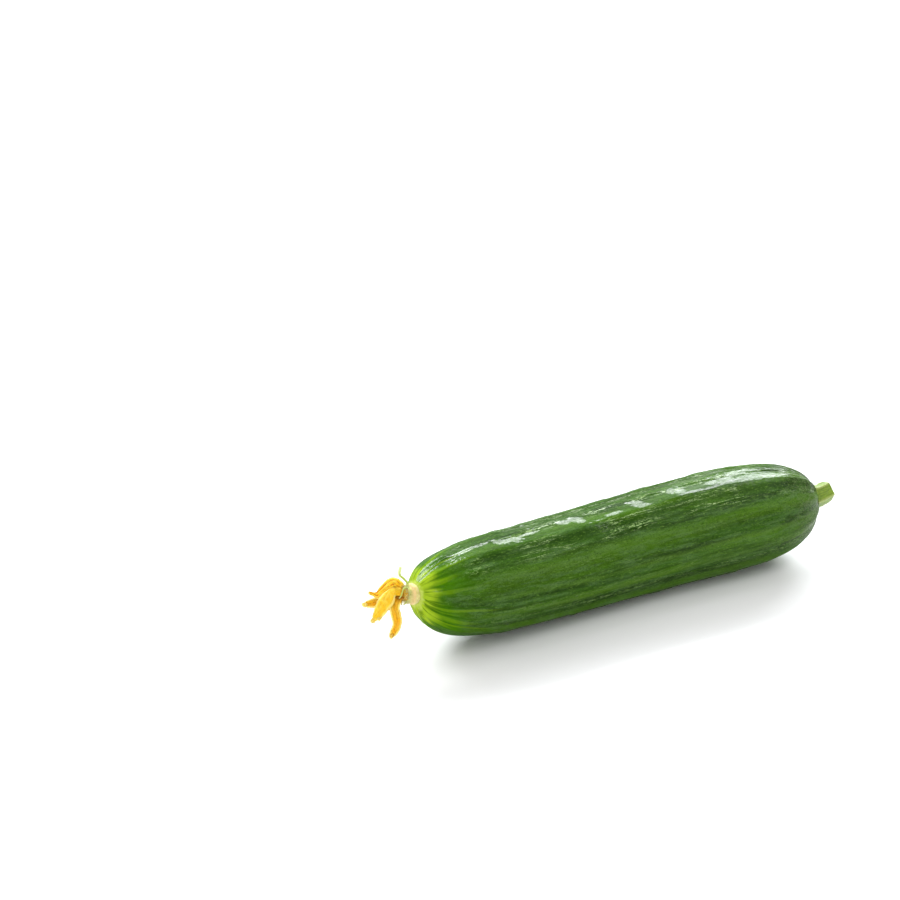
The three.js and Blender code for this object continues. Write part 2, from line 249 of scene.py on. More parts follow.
FLOWER_SCAR_PLACE = scar_distance(FLOWER_SCAR_RADIUS, full_radius(0), FLOWER_END_CLOSING) / FRUIT_LENGTH
STALK_SCAR_PLACE = 1 - scar_distance(STALK_SCAR_RADIUS, full_radius(1), STALK_END_CLOSING) / FRUIT_LENGTH


def rib_share(angle):
    """The ribs' share of the radius: strong and weak ribs in turn, with nearly flat stretches between."""
    facet = math.pi / STRONG_RIBS
    turn = np.mod(angle - RIB_START, facet) - facet / 2
    flat = math.cos(facet / 2) / np.cos(turn) - 1
    return STRONG_RIB_HEIGHT * (np.cos(STRONG_RIBS * (angle - RIB_START)) - 1) + FACET_SHARPNESS * flat


def skin_grid():
    """Places along and angles round the fruit, for each point of the skin."""
    even = np.linspace(0, 1, SKIN_RINGS)
    spread = EVEN_SPREAD * even + (1 - EVEN_SPREAD) * (1 - np.cos(math.pi * even)) / 2
    place = FLOWER_SCAR_PLACE + (STALK_SCAR_PLACE - FLOWER_SCAR_PLACE) * spread
    angle = RIB_START + angles_round(SKIN_SIDES)
    return np.meshgrid(place, angle, indexing="ij")


def skin_points(place, angle, relief):
    middle, _, up, side, radius = fruit_section(place[:, 0])
    reach = radius[:, None] * (1 + rib_share(angle + relief["wander"])) + relief["height"]
    points = middle[:, None]
    points = points + (reach * np.cos(angle))[..., None] * side[:, None]
    points = points + (reach * np.sin(angle))[..., None] * up[:, None]
    points[..., 2] = np.maximum(points[..., 2], 0)
    return points


def arc_lengths(place):
    """Distance over the surface from the flower's scar to each ring, in millimetres."""
    middle, *_, radius = fruit_section(place)
    steps = np.hypot(np.linalg.norm(np.diff(middle, axis=0), axis=1), np.diff(radius))
    return np.concatenate([[0], np.cumsum(steps)])


def round_noise(length, turn, cell, count, seed):
    """Noise over the skin, with cells of that length and that many of them round the fruit."""
    return noise(length / cell, turn * count, seed, count)


def skin_measures(place, angle):
    """Distance from the flower's scar, radius, and turns round the fruit from its first strong rib."""
    radius = fruit_section(place[:, 0])[-1][:, None]
    return arc_lengths(place[:, 0])[:, None], radius, (angle - RIB_START) / (2 * math.pi)


def skin_relief(place, angle):
    """Low relief of the skin: creased ribs that wander, wrinkled threads along the weak ribs between them,
    fine ribs, pebbles and slow undulations."""
    length, radius, turn = skin_measures(place, angle)
    uneven = {name: round_noise(length, turn, *cells) for name, cells in RELIEF_NOISES.items()}
    ends = smooth(0, 0.06, place) * smooth(0, 0.03, 1 - place)
    wander = ends * RIB_WANDER * uneven["wander"]
    rib_turn = STRONG_RIBS * (angle + wander - RIB_START)
    crease = -CREASE_HEIGHT * np.sqrt(np.sin(rib_turn / 2) ** 2 + CREASE_SOFTNESS)
    crease = crease * (0.75 + 0.25 * uneven["crease"])
    wiggle = 0.55 * uneven["wiggle"] + 0.5 * uneven["slow wiggle"]
    off_thread = radius * np.sin((rib_turn - math.pi) / 2) * 2 / STRONG_RIBS
    thread = np.exp(-(((off_thread + wiggle) / THREAD_WIDTH) ** 2))
    second = np.exp(-(((off_thread - wiggle - SECOND_THREAD_OFFSET) / THREAD_WIDTH) ** 2))
    thread = THREAD_HEIGHT * (thread + SECOND_THREAD_SHARE * second)
    thread = thread * smooth(-0.3, 0.6, uneven["thread breaks"])
    fine_turn = turn * FINE_RIBS + 0.5 * uneven["fine wander"]
    fine = FINE_RIB_HEIGHT * np.cos(2 * math.pi * fine_turn) * (0.55 + 0.45 * uneven["fine breaks"])
    fine = fine * (1 + STALK_END_FINE_RIBS * smooth(0.82, 0.97, place))
    pebble = PEBBLE_HEIGHT * (uneven["pebbles"] + 0.6 * uneven["small pebbles"])
    pebble = pebble * (0.3 + 0.7 * smooth(0.1, 0.9, place))
    swell = UNDULATION_HEIGHT * uneven["swell"] * (0.45 + 0.55 * smooth(0.08, 0.4, place))
    pucker = STALK_END_PUCKER * np.cos(rib_turn) * smooth(0.93, 0.985, place)
    height = ends * (crease + thread + fine + pebble + swell) + pucker * smooth(0, 0.012, 1 - place)
    return {"wander": wander, "height": height}


place_grid, angle_grid = skin_grid()
plain = skin_points(place_grid, angle_grid, {"wander": 0, "height": 0})
plain_middle = (plain.min((0, 1)) + plain.max((0, 1))) / 2
cad_low, cad_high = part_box("fruit")
cad_middle = (np.array(cad_low) + np.array(cad_high)) / 2 / MM
FRAME_SHIFT = np.array([cad_middle[0] - plain_middle[0], cad_middle[1] - plain_middle[1], 0])


# Meshes

def add_mesh(name, points, faces, values, material):
    """A smooth mesh in metres from points in millimetres, with named values at its points."""
    points = (np.asarray(points, float).reshape(-1, 3) + FRAME_SHIFT) * MM
    mesh = bpy.data.meshes.new(name)
    mesh.from_pydata(points.tolist(), [], faces)
    for key, value in values.items():
        value = np.asarray(value, float)
        vector = value.ndim > 1 and value.shape[-1] == 3
        data = mesh.attributes.new(key, "FLOAT_VECTOR" if vector else "FLOAT", "POINT").data
        data.foreach_set("vector" if vector else "value", value.ravel())
    mesh.shade_smooth()
    mesh.update()
    piece = bpy.data.objects.new(name, mesh)
    bpy.context.scene.collection.objects.link(piece)
    mesh.materials.append(material)
    return piece


def wall_faces(rings, count):
    """Faces between rings of equally many points, which run right-handed about the way they advance."""
    faces = []
    for here in range(0, (rings - 1) * count, count):
        for step in range(count):
            after = (step + 1) % count
            faces.append((here + step, here + after, here + count + after, here + count + step))
    return faces


def loft(rings):
    """Points and faces of a closed body of rings, each end closed by a fan."""
    rings = np.asarray(rings, float)
    total, count = rings.shape[:2]
    points = np.concatenate([rings.reshape(-1, 3), rings[[0, -1]].mean(1)])
    faces = wall_faces(total, count)
    first = total * count
    last_ring = first - count
    for step in range(count):
        after = (step + 1) % count
        faces.append((first, after, step))
        faces.append((first + 1, last_ring + step, last_ring + after))
    return points, faces


def joined(bodies):
    """Several bodies, each points, faces and values, as one."""
    points, faces, values, start = [], [], {}, 0
    for body_points, body_faces, body_values in bodies:
        points.append(body_points)
        faces.extend(tuple(corner + start for corner in face) for face in body_faces)
        start += len(body_points)
        for key, value in body_values.items():
            values.setdefault(key, []).append(value)
    return np.concatenate(points), faces, {key: np.concatenate(value) for key, value in values.items()}


def at_points(points, **values):
    """Named values at a body's points, and its flow. A single number is the same at all of them."""
    return {"flow": points, **{key: value * np.ones(len(points)) for key, value in values.items()}}


# Materials

def linear(red, green, blue):
    """A colour given as 8-bit sRGB, as the shader's linear values."""
    shares = [channel / 255 for channel in (red, green, blue)]
    return (*[s / 12.92 if s <= 0.04045 else ((s + 0.055) / 1.055) ** 2.4 for s in shares], 1)


class Shader:
    """A material's nodes, with short calls for the ones used here."""

    def __init__(self, name):
        self.material = bpy.data.materials.new(name)
        self.material.use_nodes = True
        self.nodes = self.material.node_tree.nodes
        self.links = self.material.node_tree.links
        self.surface = self.nodes["Principled BSDF"]

    def put(self, socket, value):
        if isinstance(value, bpy.types.NodeSocket):
            self.links.new(value, socket)
        else:
            socket.default_value = value

    def node(self, kind, inputs=(), **settings):
        node = self.nodes.new(kind)
        for key, value in settings.items():
            setattr(node, key, value)
        for key, value in dict(inputs).items():
            self.put(node.inputs[key], value)
        return node

    def value(self, name):
        return self.node("ShaderNodeAttribute", attribute_name=name).outputs["Fac"]

    def drawn_out(self, along):
        """Places on a piece, in millimetres, with its length counted short, so that marks come out long."""
        flow = self.node("ShaderNodeAttribute", attribute_name="flow").outputs["Vector"]
        node = self.node("ShaderNodeVectorMath", {0: flow, 1: (1, 1, along)}, operation="MULTIPLY")
        return node.outputs[0]

    def noise(self, along, scale, detail=3.0, roughness=0.5, distortion=0.0):
        inputs = {"Vector": self.drawn_out(along), "Scale": scale, "Detail": detail, "Roughness": roughness,
                  "Distortion": distortion}
        return self.node("ShaderNodeTexNoise", inputs).outputs["Fac"]

    def noises(self, table):
        return {name: self.noise(*settings) for name, settings in table.items()}

    def cells(self, along, scale):
        inputs = {"Vector": self.drawn_out(along), "Scale": scale}
        return self.node("ShaderNodeTexVoronoi", inputs).outputs["Distance"]

    def ramp(self, value, low, high, to_low=0.0, to_high=1.0):
        inputs = {"Value": value, "From Min": low, "From Max": high, "To Min": to_low, "To Max": to_high}
        return self.node("ShaderNodeMapRange", inputs, interpolation_type="SMOOTHSTEP").outputs["Result"]

    def math(self, operation, first, second=0.0):
        return self.node("ShaderNodeMath", {0: first, 1: second}, operation=operation).outputs[0]

    def times(self, first, second):
        return self.math("MULTIPLY", first, second)

    def lines(self, noise, low, high, inside=1.0, outside=0.0):
        """Thin lines along which a noise passes its middle."""
        off = self.math("ABSOLUTE", self.math("SUBTRACT", noise, 0.5))
        return self.ramp(off, low, high, inside, outside)

    def mix(self, share, first, second):
        node = self.node("ShaderNodeMix", data_type="RGBA")
        self.put(node.inputs["Factor"], share)
        self.put(node.inputs["A"], first)
        self.put(node.inputs["B"], second)
        return node.outputs["Result"]

    def painted(self, ground, layers, values):
        """A ground colour with layers over it. A layer is steered by one of the values, or else by a value at
        the mesh's points."""
        color = linear(*ground)
        for name, low, high, to_low, to_high, tint in layers:
            value = values[name] if name in values else self.value(name)
            color = self.mix(self.ramp(value, low, high, to_low, to_high), color, linear(*tint))
        return color

    def bumps(self, rows):
        """The normal after one bump on another: each has a height, a distance in metres and a strength."""
        normal = None
        for height, distance, strength in rows:
            inputs = {"Height": height, "Distance": distance, "Strength": strength}
            if normal:
                inputs["Normal"] = normal
            normal = self.node("ShaderNodeBump", inputs).outputs["Normal"]
        return normal

    def set(self, **sockets):
        for key, value in sockets.items():
            self.put(self.surface.inputs[key.replace("_", " ")], value)


# A material's noises: the share that lengths count for, then scale, detail, roughness and distortion. Its
# layers: the value that steers one, the value's range, the colour's share at both its ends, and the colour.
SKIN_NOISES = {
    "broad": (0.06, 0.34, 4, 0.55),
    "fibres": (0.1, 1.5, 6, 0.68),
    "flecks": (0.28, 2.6, 5, 0.7),
    "blotches": (0.4, 0.3, 5, 0.62),
    "bloom": (0.16, 0.62, 6, 0.7),
    "pores": (0.7, 3.4, 3, 0.6),
    "threads": (0.07, 0.95, 4, 0.6, 0.25),
    "beads": (1.1, 1.1, 3, 0.6),
    "veins": (0.35, 1.1, 5, 0.7, 1.2),
    "speckling": (1, 0.4, 2),
    "ragged": (0.5, 1.5, 5, 0.65),
    "slits": (0.8, 0.9, 4, 0.6, 0.6),
    "fine": (0.4, 1.7, 5, 0.62),
    "grain": (0.25, 5.5, 3, 0.55),
}
SKIN_GROUND = (32, 56, 14)
SKIN_LAYERS = [
    ("broad", 0.36, 0.64, 0, 1, (53, 88, 24)),
    ("band", 0.25, 0.95, 0, 0.7, (70, 108, 16)),
    ("fibres", 0.5, 0.78, 0, 0.5, (78, 118, 26)),
    ("fibres", 0.25, 0.45, 0.26, 0, (18, 42, 3)),
    ("blotches", 0.5, 0.72, 0, 0.28, (26, 54, 14)),
    ("bloom", 0.45, 0.62, 0, 0.58, (84, 114, 66)),
    ("light", 0, 1, 0, 0.5, (90, 124, 44)),
    # Dark stripes of the skin, and painted shade along its upper side
    ("dark", 0, 1, 0, 0.75, (24, 52, 2)),
    ("flecks", 0.52, 0.66, 0, 0.65, (94, 128, 52)),
    ("pores", 0.34, 0.49, 0.62, 0, (20, 44, 6)),
    ("glow", 0, 1, 0, 0.85, (62, 110, 0)),
    ("streak", 0.05, 1, 0, 0.85, (118, 154, 18)),
    ("pale", 0, 1, 0, 0.92, (156, 184, 38)),
    ("groove", 0, 1, 0, 0.75, (42, 84, 0)),
    ("root", 0, 1, 0, 0.7, (190, 204, 104)),
]
# Pale colour laid on the wrinkle threads: a painted glint
THREAD_GLINT_COLOR = (172, 204, 128)
NET_COLOR = (134, 150, 104)
SPECK_COLOR = (134, 160, 84)
RAGGEDNESS = 1.4


def skin_material():
    """Green skin whose coat shines only where it has no bloom."""
    shader = Shader("cucumber_skin")
    noises = shader.noises(SKIN_NOISES)
    color = shader.painted(SKIN_GROUND, SKIN_LAYERS, noises)
    thread = shader.lines(noises["threads"], 0.004, 0.03)
    thread = shader.times(thread, shader.ramp(noises["beads"], 0.4, 0.5))
    thread = shader.times(thread, shader.value("wrinkle"))
    net = shader.times(shader.lines(noises["veins"], 0.0, 0.035), shader.value("husk"))
    speck_size = shader.ramp(noises["speckling"], 0.4, 0.8, 0.0, 0.12)
    speck = shader.math("LESS_THAN", shader.cells(0.8, 0.55), speck_size)
    # The threads' pale colour is a painted glint
    for mask, share, tint in ((thread, 0.9, THREAD_GLINT_COLOR), (net, 0.7, NET_COLOR), (speck, 0.4, SPECK_COLOR)):
        color = shader.mix(shader.times(mask, share), color, linear(*tint))
    ragged = shader.times(shader.math("SUBTRACT", noises["ragged"], 0.5), RAGGEDNESS)
    gloss = shader.ramp(shader.math("ADD", shader.value("gloss"), ragged), 0.36, 0.46)
    gloss = shader.times(gloss, shader.ramp(noises["flecks"], 0.38, 0.58, 1, 0.45))
    gloss = shader.times(gloss, shader.lines(noises["slits"], 0.005, 0.04, 0.3, 1))
    coat = shader.times(shader.ramp(noises["bloom"], 0.38, 0.6, 0.13, 0.015), shader.value("sheen"))
    for mask, weight in ((gloss, 0.78), (thread, 0.6), (shader.value("husk"), 0.16)):
        coat = shader.math("ADD", coat, shader.times(mask, weight))
    normal = shader.bumps([
        (noises["fine"], 0.0002, 0.8),
        (net, 0.00012, 0.6),
        (thread, 0.00015, 0.8),
        (noises["grain"], 0.00004, 0.5),
    ])
    roughness = shader.ramp(noises["bloom"], 0.4, 0.6, 0.32, 0.48)
    shader.set(Base_Color=color, Normal=normal, Roughness=roughness, Specular_IOR_Level=0.004)
    shader.set(Coat_Weight=coat, Coat_Roughness=0.1, Coat_IOR=1.55)
    return shader.material


STALK_GROUND = (90, 118, 10)
STALK_LAYERS = [
    ("fibres", 0.3, 0.7, 0, 1, (128, 154, 32)),
    ("patches", 0.5, 0.8, 0, 0.5, (84, 106, 34)),
    ("edge", 0.45, 1, 0, 0.8, (156, 168, 92)),
]


def stalk_material():
    shader = Shader("stalk_skin")
    noises = shader.noises({"fibres": (0.12, 2.2, 4, 0.6), "patches": (1, 0.9), "grain": (0.2, 4.5)})
    color = shader.painted(STALK_GROUND, STALK_LAYERS, noises)
    normal = shader.bumps([(noises["grain"], 0.0002, 0.5)])
    shader.set(Base_Color=color, Normal=normal, Roughness=0.42, Subsurface_Weight=0.1)
    shader.set(Subsurface_Scale=0.001, Subsurface_Radius=(0.5, 1.0, 0.2))
    return shader.material


CUT_GROUND = (170, 176, 122)
CUT_LAYERS = [
    ("middle", 0.1, 0.75, 0, 1, (124, 146, 68)),
    ("pores", 0, 0.3, 0.4, 0, (120, 140, 70)),
]


def cut_material():
    shader = Shader("stalk_cut")
    pores = shader.cells(1, 1.6)
    color = shader.painted(CUT_GROUND, CUT_LAYERS, {"pores": pores})
    shader.set(Base_Color=color, Normal=shader.bumps([(pores, 0.0003, 0.5)]), Roughness=0.5)
    return shader.material


CALYX_GROUND = (224, 210, 140)
CALYX_LAYERS = [
    ("patches", 0.35, 0.7, 0, 1, (206, 192, 112)),
    ("blush", 0, 1, 0, 0.75, (228, 192, 132)),
    ("green", 0, 1, 0, 1, (176, 200, 86)),
    ("pallor", 0, 1, 0, 0.85, (214, 226, 156)),
    ("dapple", 0.56, 0.7, 0, 0.4, (196, 158, 62)),
    ("brown", 0, 1, 0, 0.9, (176, 134, 44)),
]


def calyx_material():
    shader = Shader("calyx_cream")
    noises = shader.noises({"patches": (1, 0.8, 4), "dapple": (1, 1.7, 4, 0.65), "down": (1, 4.5)})
    color = shader.painted(CALYX_GROUND, CALYX_LAYERS, noises)
    normal = shader.bumps([(noises["down"], 0.0002, 0.6)])
    shader.set(Base_Color=color, Normal=normal, Roughness=0.7, Sheen_Weight=0.2, Sheen_Roughness=0.5)
    shader.set(Subsurface_Weight=0.15, Subsurface_Scale=0.0012, Subsurface_Radius=(1.0, 0.8, 0.4))
    return shader.material


PETAL_NOISES = {
    "veins": (0.13, 2.4, 4, 0.6),
    "patches": (1, 0.55, 4),
    "freckles": (1, 3.2, 3, 0.6),
    "threads": (0.16, 3.2, 3, 0.55, 0.5),
    "wrinkles": (0.3, 0.9, 3, 0.55),
    "crinkle": (0.4, 2.2, 4, 0.6),
}
PETAL_GROUND = (254, 198, 22)
PETAL_LAYERS = [
    ("patches", 0.35, 0.7, 0, 1, (255, 220, 74)),
    ("veins", 0.53, 0.75, 0, 0.6, (238, 150, 10)),
    # Painted shade in folds and creases
    ("fold", 0.2, 0.95, 0, 0.85, (222, 130, 14)),
    ("freckles", 0.7, 0.8, 0, 0.3, (206, 122, 30)),
    ("rim", 0.45, 1, 0, 0.9, (254, 228, 126)),
    # Painted shade in the hollow where the petals meet the neck
    ("root", 0.1, 1, 0, 0.92, (158, 84, 14)),
]
THROAT_GROUND = (188, 178, 66)
THROAT_LAYERS = [("freckles", 0.4, 0.6, 0, 1, (206, 140, 44))]
PETAL_THREAD_COLOR = (226, 132, 14)


def petal_material():
    shader = Shader("withered_petal")
    noises = shader.noises(PETAL_NOISES)
    color = shader.painted(PETAL_GROUND, PETAL_LAYERS, noises)
    color = shader.mix(shader.value("lime"), color, shader.painted(THROAT_GROUND, THROAT_LAYERS, noises))
    threads = shader.lines(noises["threads"], 0.0, 0.03)
    color = shader.mix(shader.times(threads, 0.28), color, linear(*PETAL_THREAD_COLOR))
    normal = shader.bumps([
        (noises["wrinkles"], 0.0012, 0.8), (noises["crinkle"], 0.0006, 0.8), (threads, 0.0001, 0.6),
    ])
    shader.set(Base_Color=color, Normal=normal, Roughness=0.6, Specular_IOR_Level=0.25)
    shader.set(Subsurface_Weight=0.12, Subsurface_Scale=0.0006, Subsurface_Radius=(1.0, 0.7, 0.2))
    return shader.material


def dress(pieces, node):
    """Put pieces in the place of a solid."""
    for piece in pieces:
        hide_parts(node)
        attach(piece, "root")


# Fruit

# Streaks that leave the flower's scar: how many, their least and greatest reach in millimetres, their least
# and greatest strength, their seed, the seed of the dark grooves between them, and the grooves' strength
STREAK_FAMILIES = [
    (2 * STRONG_RIBS, (9, 30), (0.25, 0.8), 21, 28, 1),
    (47, (8, 42), (0, 0.55), 27, 37, 0.75),
]

# Noise in the marks: length of a cell in millimetres, cells round the fruit, and seed
MARK_NOISES = {
    "flames": (8, 20, 23),
    "small flames": (6, 44, 38),
    "glow": (12, 14, 29),
    "band wander": (30, 6, 24),
    "band breaks": (22, 17, 25),
    "root": (1, 44, 31),
    "wrinkle breaks": (16, 10, 34),
    "gloss": (8, 18, 36),
}
FLAME_LENGTH = 2.5
DARK_SEED = 141
LIGHT_SEED = 143


def streak_family(count, turn, arc, seed, reaches, strengths):
    """Soft streaks that leave the flower's scar side by side and narrow to a point, and how far each point
    of the skin is from the nearest one's middle, as a share of their spacing."""
    wavy = turn * count + 0.3 * round_noise(arc, turn, 9, 9, seed)
    number = np.round(wavy).astype(int) % count
    rng = np.random.default_rng(seed)
    reach = rng.uniform(*reaches, count)[number]
    strength = rng.uniform(*strengths, count)[number]
    off = np.abs(wavy - np.round(wavy))
    width = 0.5 * np.clip(1 - arc / reach, 0, 1) ** 0.8 + 0.001
    streak = strength * (1 - smooth(0.45, 1.1, off / width)) * (1 - smooth(0.4, 1, arc / reach))
    return streak, off, reach


def groove_family(count, off, reach, arc, turn, radius, seed):
    """Thin dark lines between the streaks, which fade out further along."""
    off_groove = (0.5 - off) * 2 * math.pi * radius / count
    groove = 1 - smooth(0.04, 0.4, off_groove + 0.2 * round_noise(arc, turn, 3, 20, seed))
    groove = groove * smooth(0.8, 3, arc) * (1 - smooth(0.5, 1.2, arc / reach))
    return groove * smooth(-0.7, 0.3, round_noise(arc, turn, 30, count, seed + 2))


def skin_marks(place, angle):
    """Values at the skin's points, one kind for each mark that the material shows."""
    arc, radius, turn = skin_measures(place, angle)
    uneven = {name: round_noise(arc, turn, *cells) for name, cells in MARK_NOISES.items()}
    streak = groove = 0
    for count, reaches, strengths, seed, groove_seed, depth in STREAK_FAMILIES:
        streaks, off, reach = streak_family(count, turn, arc, seed, reaches, strengths)
        streak = np.maximum(streak, streaks)
        groove = np.maximum(groove, depth * groove_family(count, off, reach, arc, turn, radius, groove_seed))
    flames = FLAME_LENGTH * (uneven["flames"] + uneven["small flames"])
    band = np.cos(2 * math.pi * (turn * STRONG_RIBS + 0.35 * uneven["band wander"]))
    return {
        "streak": streak,
        "groove": groove,
        "pale": 1 - smooth(1, 11.5, arc + flames),
        "glow": 1 - smooth(3, 25, arc + 8 * uneven["glow"]),
        "band": 0.5 + 0.5 * band * (0.6 + 0.4 * uneven["band breaks"]),
        "root": 1 - smooth(0, 2.6, arc + 0.8 * uneven["root"]),
        "husk": smooth(0.86, 0.985, place),
        # Dark stripes, with painted shade along the upper side
        "dark": stripe_field(DARK_STRIPES_AND_SHADE, arc, angle, DARK_SEED),
        "light": stripe_field(LIGHT_STRIPES, arc, angle, LIGHT_SEED),
        "wrinkle": wrinkle_field(arc, turn, radius, uneven["wrinkle breaks"]),
        "gloss": gloss_field(arc, angle, radius, uneven["gloss"]),
        "sheen": 0.3 + 0.7 * smooth(85, 112, arc) + 0 * angle,
    }


# Stripes all along the skin: angle round the fruit, half width in degrees and strength. Of the dark ones,
# those at
# 77 and 118 degrees are painted shade along the upper side of the fruit; the others are the skin's own
# stripes.
DARK_STRIPES_AND_SHADE = [
    (118, 7.5, 1), (180, 2.5, 0.8), (157, 2, 0.3), (206, 4, 0.6), (243, 5, 0.7), (284, 4, 0.6), (322, 5, 0.7),
    (359, 4, 0.6), (34, 5, 0.7), (77, 7, 0.8),
]
LIGHT_STRIPES = [
    (144, 8, 0.7), (169, 3.5, 0.8), (189, 3.5, 0.8), (225, 5, 0.7), (264, 5, 0.8), (303, 5, 0.7),
    (340, 6, 0.8), (15, 5, 0.7), (53, 5, 0.7), (99, 4, 0.4),
]

# Lines of wrinkles, which shine, bump and carry a painted glint: how strong they are on each rib, from the
# first strong one round, strong and weak in turn
RIB_WRINKLES = [
    0.8, 1, 0.15, 0.1, 0.2, 0.4, 0.1, 0.2, 0.3, 0.2, 0.1, 0.3, 0.2, 0.5, 0.2, 0.1, 0.3, 0.2, 0.4, 0.9,
]
WRINKLE_WIDTH = 1.3
STRONG_RIB_WRINKLE_OFFSET = 1.2

# Patches of skin without bloom, which shine: distance from the flower's scar, angle round the fruit, half
# length, half width and slant
GLOSS_PATCHES = [
    (17, 91.5, 16, 1.0, 0), (6, 93, 7, 1.5, 0), (9, 80, 8, 0.5, 0), (35.5, 96.5, 2.6, 1.7, 0.5),
    (40, 98, 3.4, 2.1, 0.4), (46.5, 96, 4, 0.8, 0), (60, 93.5, 2.6, 1.3, 0.3), (64.5, 95, 3.2, 2, 0.4),
    (77.5, 103.5, 3.6, 0.9, 0), (86.5, 94.5, 2.8, 1.1, 0.4), (88.5, 104, 3.4, 1.7, 0.4),
    (102, 96.5, 3, 2.1, 0.4), (105.5, 106, 4.4, 1.3, 0), (114, 107, 6.4, 1.3, 0), (118, 97, 6, 1.6, 0),
    (123.5, 105, 7, 2.2, 0), (128, 89, 12, 1.6, 0), (133.5, 101, 7.5, 3.2, 0), (142.5, 96, 6, 3.2, -0.3),
]
GLOSS_GAP = (136, 93, 8, 0.4, 0.1)
GLOSS_SCATTER = 0.42
GLOSS_FADE = 0.65


def stripe_field(stripes, arc, angle, seed):
    turn = (angle - RIB_START) / (2 * math.pi)
    wavy = np.degrees(angle) + 2.5 * round_noise(arc, turn, 14, 12, seed)
    field = 0 * wavy
    for degrees, half_width, strength in stripes:
        off = (wavy - degrees + 180) % 360 - 180
        field = field + strength * np.exp(-((off / half_width) ** 2))
    broken = 0.75 + 0.25 * round_noise(arc, turn, 10, 24, seed + 1)
    return np.clip(field, 0, 1) * broken * smooth(12, 34, arc)


def wrinkle_field(arc, turn, radius, breaks):
    count = 2 * STRONG_RIBS
    nearest = np.round(turn * count).astype(int)
    strength = np.array(RIB_WRINKLES)[nearest % count]
    off = (turn * count - nearest) * 2 * math.pi * radius / count
    off = off - STRONG_RIB_WRINKLE_OFFSET * (nearest % 2 == 0)
    return strength * np.exp(-((off / WRINKLE_WIDTH) ** 2)) * smooth(-0.6, 0.2, breaks) * smooth(14, 30, arc)


def patch_offsets(patch, arc, angle, radius):
    """How far along and across each point is from a patch's middle, in its half length and half width."""
    place, degrees, half_length, half_width, slant = patch
    off_across = (angle - math.radians(degrees) + math.pi) % (2 * math.pi) - math.pi
    return (arc - place) / half_length, (off_across * radius - slant * (arc - place)) / half_width


def gloss_field(arc, angle, radius, scatter):
    """How far inside a shiny patch each point is: 1 at its middle and less outwards, with a gap cut out."""
    field = GLOSS_SCATTER * smooth(0.2, 1, scatter) + 0 * angle
    for patch in GLOSS_PATCHES:
        field = np.maximum(field, 1 - GLOSS_FADE * np.hypot(*patch_offsets(patch, arc, angle, radius)))
    off_along, off_across = patch_offsets(GLOSS_GAP, arc, angle, radius)
    return field - np.exp(-(off_along**4) - off_across**2)


def make_fruit():
    relief = skin_relief(place_grid, angle_grid)
    rings = skin_points(place_grid, angle_grid, relief)
    values = skin_marks(place_grid, angle_grid)
    arc, radius, _ = skin_measures(place_grid, angle_grid)
    flow = np.stack([radius * np.cos(angle_grid), radius * np.sin(angle_grid), arc + 0 * angle_grid], -1)
    points, faces = loft(rings)
    values = {key: np.append(value.ravel(), [value[0, 0], value[-1, 0]]) for key, value in values.items()}
    values["flow"] = np.concatenate([flow.reshape(-1, 3), [[0, 0, 0], [0, 0, arc[-1, 0]]]])
    dress([add_mesh("skin", points, faces, values, skin_material())], "fruit")


# Stalk stub

STALK_SIDES = 120
STALK_RINGS = 60
STALK_RIDGE_HEIGHT = 0.1
STALK_NOISE_CELLS = 9
CUT_RINGS = 16
CUT_DEPTH = 0.21
CUT_ROUGHNESS = 0.03
CUT_ROUNDING = 0.18
CUT_SEED = 33


def polygon_share(angle, edges, start, sharpness):
    half = math.pi / edges
    turn = np.mod(angle - start, 2 * half) - half
    return 1 - sharpness + sharpness * math.cos(half) / np.cos(turn)


def stalk_section(part):
    middle, ahead, up, side, _ = fruit_section(STALK_SCAR_PLACE)
    middle, ahead, up, side = middle[0], ahead[0], up[0], side[0]
    turn = part**1.5
    spot = middle + ahead * (GAP - SEAM_DEPTH + part * (STALK_LENGTH + SEAM_DEPTH))
    spot = spot + up * turn * STALK_TURN_UP * STALK_LENGTH + side * turn * STALK_TURN_SIDE * STALK_LENGTH
    return spot, section_axes(ahead + up * part * STALK_TURN_UP + side * part * STALK_TURN_SIDE)


def make_stalk_skin():
    """The stub's skin from its foot to the rim of its cut, with that rim and the flow along it."""
    angle = STALK_EDGE_START + angles_round(STALK_SIDES)
    turn = np.linspace(0, 1, STALK_SIDES, endpoint=False)
    shape = polygon_share(angle, STALK_EDGES, STALK_EDGE_START, STALK_SHARPNESS)
    ridge = 0.5 + 0.5 * np.cos(STALK_EDGES * (angle - STALK_EDGE_START))
    rings, flows = [], []
    for step in range(STALK_RINGS):
        part = step / (STALK_RINGS - 1)
        spot, (_, up, side) = stalk_section(part)
        radius = STALK_BASE_RADIUS + (STALK_CUT_RADIUS - STALK_BASE_RADIUS) * math.sqrt(part)
        reach = radius * shape + STALK_RIDGE_HEIGHT * ridge**6
        along = np.full(STALK_SIDES, part * STALK_NOISE_CELLS)
        reach = reach + 0.09 * noise(along, turn * 30, 31, 30) + 0.05 * noise(along * 3, turn * 46, 32, 46)
        reach = reach - CUT_ROUNDING * smooth(0.97, 1.0, part)
        rings.append(ring(spot, reach, angle, side, up))
        length = np.full(STALK_SIDES, part * STALK_LENGTH)
        flows.append(np.stack([radius * np.cos(angle), radius * np.sin(angle), length], -1))
    values = {"flow": np.concatenate(flows), "edge": np.tile(ridge**3, STALK_RINGS)}
    faces = wall_faces(STALK_RINGS, STALK_SIDES)
    skin = add_mesh("stalk_skin", np.concatenate(rings), faces, values, stalk_material())
    return skin, rings[-1], flows[-1]


